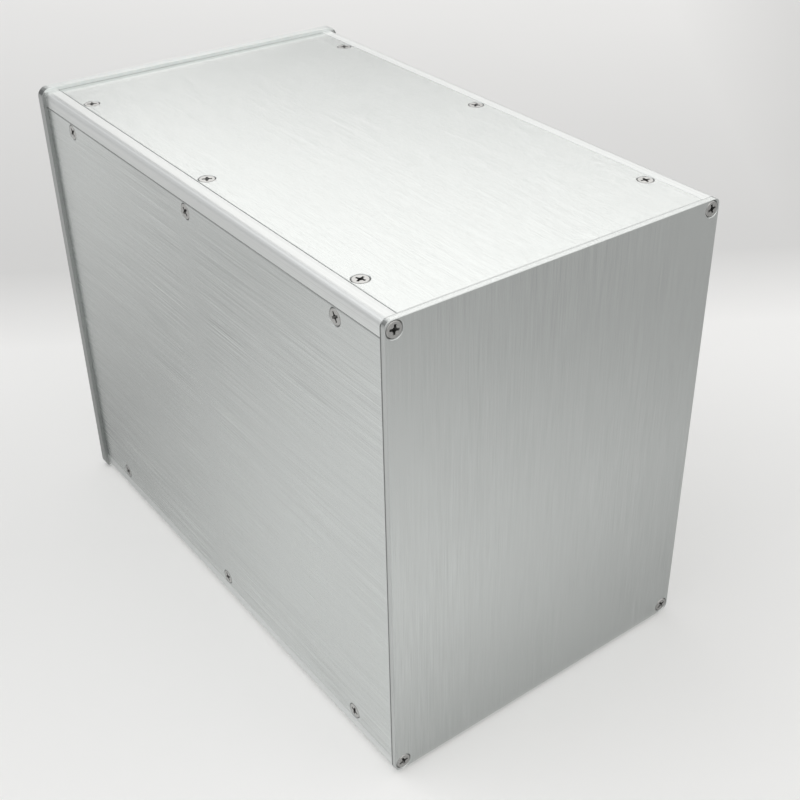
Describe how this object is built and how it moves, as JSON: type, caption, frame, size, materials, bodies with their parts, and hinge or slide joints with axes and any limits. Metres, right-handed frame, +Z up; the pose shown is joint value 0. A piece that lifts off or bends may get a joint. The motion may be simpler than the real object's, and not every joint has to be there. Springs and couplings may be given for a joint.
{
  "type": "aluminium electronics chassis",
  "caption": "Rectangular brushed aluminium electronics chassis: extruded corner rails with covers, side panels, rear panel and thicker front panel held by countersunk screws.",
  "frame": {"origin": "middle of the width and depth, at the lower edge of the front panel, the lowest part of the chassis", "axes": "+X across the width to the right as seen from the front, +Y from the front panel to the rear panel, +Z up"},
  "size_m": [0.1226, 0.206, 0.1625],
  "materials": {
    "brushed_sheet": "brushed and clear anodised sheet",
    "front_plate": "brushed and clear anodised plate",
    "rail": "fine matt anodised extrusion",
    "screw": "bright nickel plated steel"
  },
  "bodies": {
    "root": {"front_panel": "front_plate", "rear_panel": "brushed_sheet", "top_cover": "brushed_sheet", "bottom_cover": "brushed_sheet", "left_side_panel": "brushed_sheet", "right_side_panel": "brushed_sheet", "top_left_rail": "rail", "top_right_rail": "rail", "bottom_left_rail": "rail", "bottom_right_rail": "rail", "top_left_screws": "screw", "top_right_screws": "screw", "bottom_left_screws": "screw", "bottom_right_screws": "screw", "left_upper_screws": "screw", "left_lower_screws": "screw", "right_upper_screws": "screw", "right_lower_screws": "screw", "rear_screws": "screw", "front_screws": "screw"}
  },
  "joints": []
}
